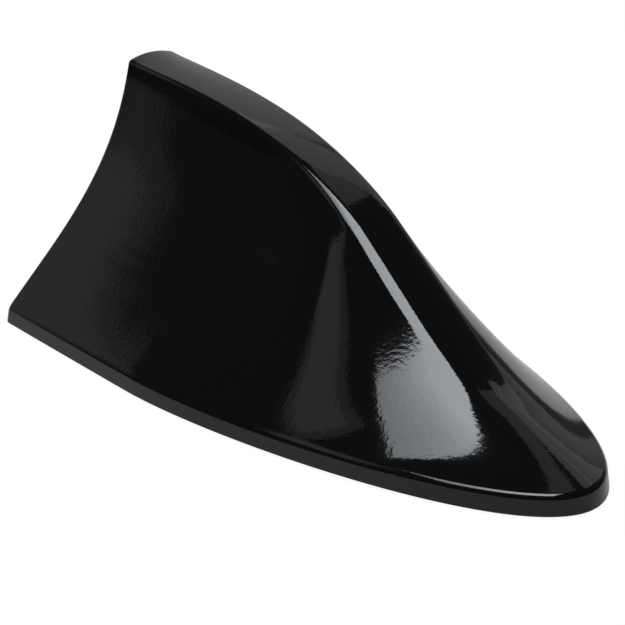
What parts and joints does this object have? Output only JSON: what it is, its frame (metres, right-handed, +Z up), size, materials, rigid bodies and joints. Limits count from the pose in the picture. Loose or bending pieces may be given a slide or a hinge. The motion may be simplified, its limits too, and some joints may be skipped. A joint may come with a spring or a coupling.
{
  "type": "shark fin aerial",
  "caption": "Gloss black shark fin roof aerial: a hollow fin shaped cover on a flat foam backed base, with its amplifier board, radiator and coil inside.",
  "frame": {"origin": "middle of the foam pad's underside, where it meets the roof: the bottom centre of the whole part", "axes": "+X toward the nose, which points to the front of the car; +Z up, away from the roof; +Y to the car's left; the cover is alike on both sides of the XZ plane"},
  "size_m": [0.155, 0.079, 0.0564],
  "materials": {
    "gloss_cover": "moulded, high gloss black with a fine orange peel",
    "base_black": "moulded, fine texture",
    "foam_grey": "closed cell foam with an adhesive face",
    "seal_rubber": "soft rubber",
    "zinc_sheet": "zinc plated sheet",
    "board_green": "solder resist over glass fibre board",
    "copper": "bare copper",
    "core_white": "natural nylon",
    "tin_sheet": "tin plated sheet",
    "chip_black": "moulded package",
    "capacitor_tan": "fired ceramic",
    "ferrite_grey": "ferrite in resin",
    "plated_brass": "plated",
    "screw_steel": "zinc plated",
    "membrane_white": "thin vent membrane"
  },
  "bodies": {
    "root": {"outer_shell": "gloss_cover", "base_plate": "base_black", "adhesive_pad": "foam_grey", "housing_seal": "seal_rubber", "ground_plate": "zinc_sheet", "main_board": "board_green", "element_board": "board_green", "radiator_track": "copper", "coil_former": "core_white", "loading_coil": "copper", "top_plate": "zinc_sheet", "shield_can": "tin_sheet", "amplifier_chip": "chip_black", "filter_capacitors": "capacitor_tan", "choke_coils": "ferrite_grey", "cable_socket": "plated_brass", "cable_grommet": "seal_rubber", "ground_spring": "plated_brass", "board_brackets": "plated_brass", "board_screws": "screw_steel", "cover_screws": "screw_steel", "drain_membrane": "membrane_white"}
  },
  "joints": []
}
